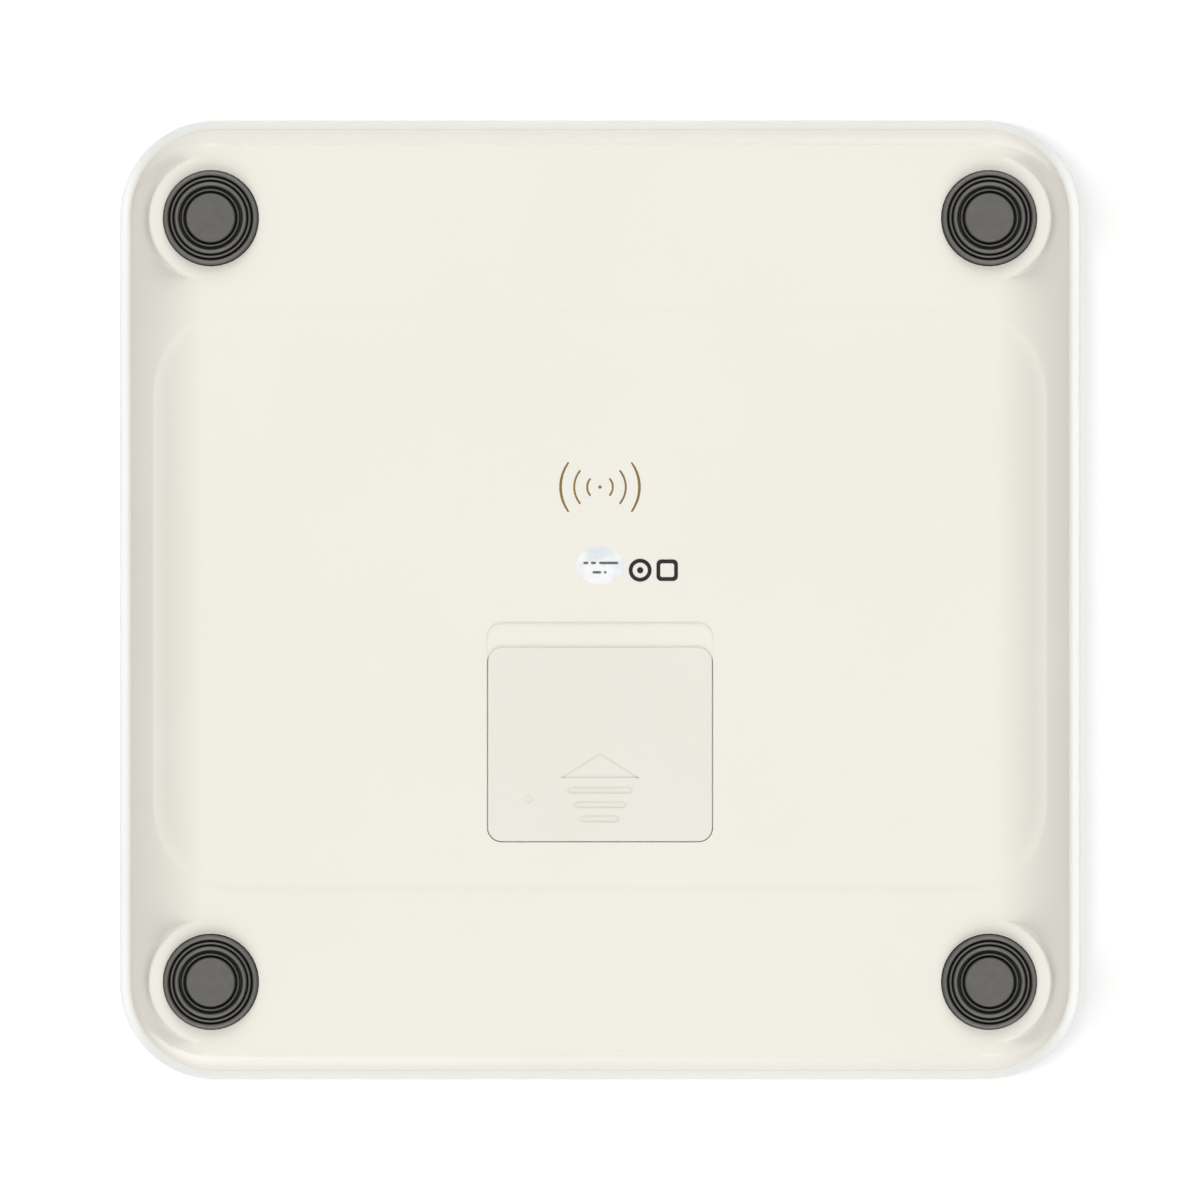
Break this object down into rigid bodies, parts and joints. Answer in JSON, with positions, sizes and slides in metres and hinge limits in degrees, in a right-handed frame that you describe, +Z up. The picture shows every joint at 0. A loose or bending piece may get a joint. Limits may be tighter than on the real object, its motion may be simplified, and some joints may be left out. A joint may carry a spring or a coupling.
{
  "type": "digital bathroom scale",
  "caption": "Square glass bathroom scale: a glass platform bonded to a shallow plastic base that stands on load-cell feet, with a sliding battery door underneath.",
  "frame": {"origin": "on the floor under the middle of the platform", "axes": "+Z up through the glass, +Y towards the display end, +X to the right of a person who stands on it facing the display"},
  "size_m": [0.28, 0.28, 0.023],
  "materials": {
    "platform_glass": "polished tempered glass",
    "back_print": "white enamel print",
    "bonding_tape": "double-sided tape",
    "shell_plastic": "fine satin moulding",
    "door_plastic": "fine satin moulding",
    "felt": "thin felt",
    "gauge_silicone": "soft white potting",
    "screw_steel": "zinc plated",
    "clip_plastic": "moulded",
    "nickel_contact": "nickel plated",
    "lead_wire": "PVC insulation",
    "harness_wire": "PVC insulation",
    "circuit_board": "solder mask",
    "chip_resin": "epoxy",
    "component": "moulded",
    "display_face": "dark face",
    "display_plastic": "moulded",
    "foam": "closed-cell foam",
    "smoked_window": "smoked film",
    "connector_nylon": "nylon",
    "buzzer_brass": "rolled brass",
    "buzzer_ceramic": "silvered ceramic",
    "label_foil": "silver foil sticker",
    "black_ink": "printed",
    "battery_jacket": "printed jacket",
    "foot_rubber": "soft grey rubber",
    "cup_plastic": "moulded",
    "cell_steel": "stamped steel",
    "housing_plastic": "moulded"
  },
  "bodies": {
    "base": {"base_shell": "shell_plastic", "battery_1": "battery_jacket", "battery_2": "battery_jacket", "battery_3": "battery_jacket", "battery_4": "battery_jacket", "battery_connector": "connector_nylon", "battery_leads": "lead_wire", "board_components": "component", "board_screws": "screw_steel", "buzzer_ceramic": "buzzer_ceramic", "buzzer_disc": "buzzer_brass", "cell_connector_left": "connector_nylon", "cell_connector_right": "connector_nylon", "cell_harness_front_left": "harness_wire", "cell_harness_front_right": "harness_wire", "cell_harness_rear_left": "harness_wire", "cell_harness_rear_right": "harness_wire", "cell_housing_front_left": "housing_plastic", "cell_housing_front_right": "housing_plastic", "cell_housing_rear_left": "housing_plastic", "cell_housing_rear_right": "housing_plastic", "contact_plates": "nickel_contact", "contact_springs": "nickel_contact", "controller_chip": "chip_resin", "display_frame": "display_plastic", "display_gasket": "foam", "display_module": "display_face", "display_pins": "nickel_contact", "display_window": "smoked_window", "gauge_coatings": "gauge_silicone", "glass_platform": "platform_glass", "housing_screws": "screw_steel", "load_cell_front_left": "cell_steel", "load_cell_front_right": "cell_steel", "load_cell_rear_left": "cell_steel", "load_cell_rear_right": "cell_steel", "main_board": "circuit_board", "platform_back_print": "back_print", "platform_tape": "bonding_tape", "printed_marks": "black_ink", "rating_label": "label_foil", "support_pads": "bonding_tape", "wire_clips": "clip_plastic"},
    "door": {"battery_door": "door_plastic", "door_felt": "felt"},
    "foot_front_left": {"foot_pad_front_left": "foot_rubber", "foot_cup_front_left": "cup_plastic"},
    "foot_front_right": {"foot_pad_front_right": "foot_rubber", "foot_cup_front_right": "cup_plastic"},
    "foot_rear_left": {"foot_pad_rear_left": "foot_rubber", "foot_cup_rear_left": "cup_plastic"},
    "foot_rear_right": {"foot_pad_rear_right": "foot_rubber", "foot_cup_rear_right": "cup_plastic"}
  },
  "joints": [
    {"name": "battery_door_slide", "type": "slide", "parent": "base", "child": "door", "axis": [0, 1, 0], "range_m": [0, 0.007]},
    {"name": "foot_front_left_press", "type": "slide", "parent": "base", "child": "foot_front_left", "axis": [0, 0, 1], "range_m": [0, 0.0005], "stiffness_N_per_m": 1000000},
    {"name": "foot_front_right_press", "type": "slide", "parent": "base", "child": "foot_front_right", "axis": [0, 0, 1], "range_m": [0, 0.0005], "stiffness_N_per_m": 1000000},
    {"name": "foot_rear_left_press", "type": "slide", "parent": "base", "child": "foot_rear_left", "axis": [0, 0, 1], "range_m": [0, 0.0005], "stiffness_N_per_m": 1000000},
    {"name": "foot_rear_right_press", "type": "slide", "parent": "base", "child": "foot_rear_right", "axis": [0, 0, 1], "range_m": [0, 0.0005], "stiffness_N_per_m": 1000000}
  ]
}
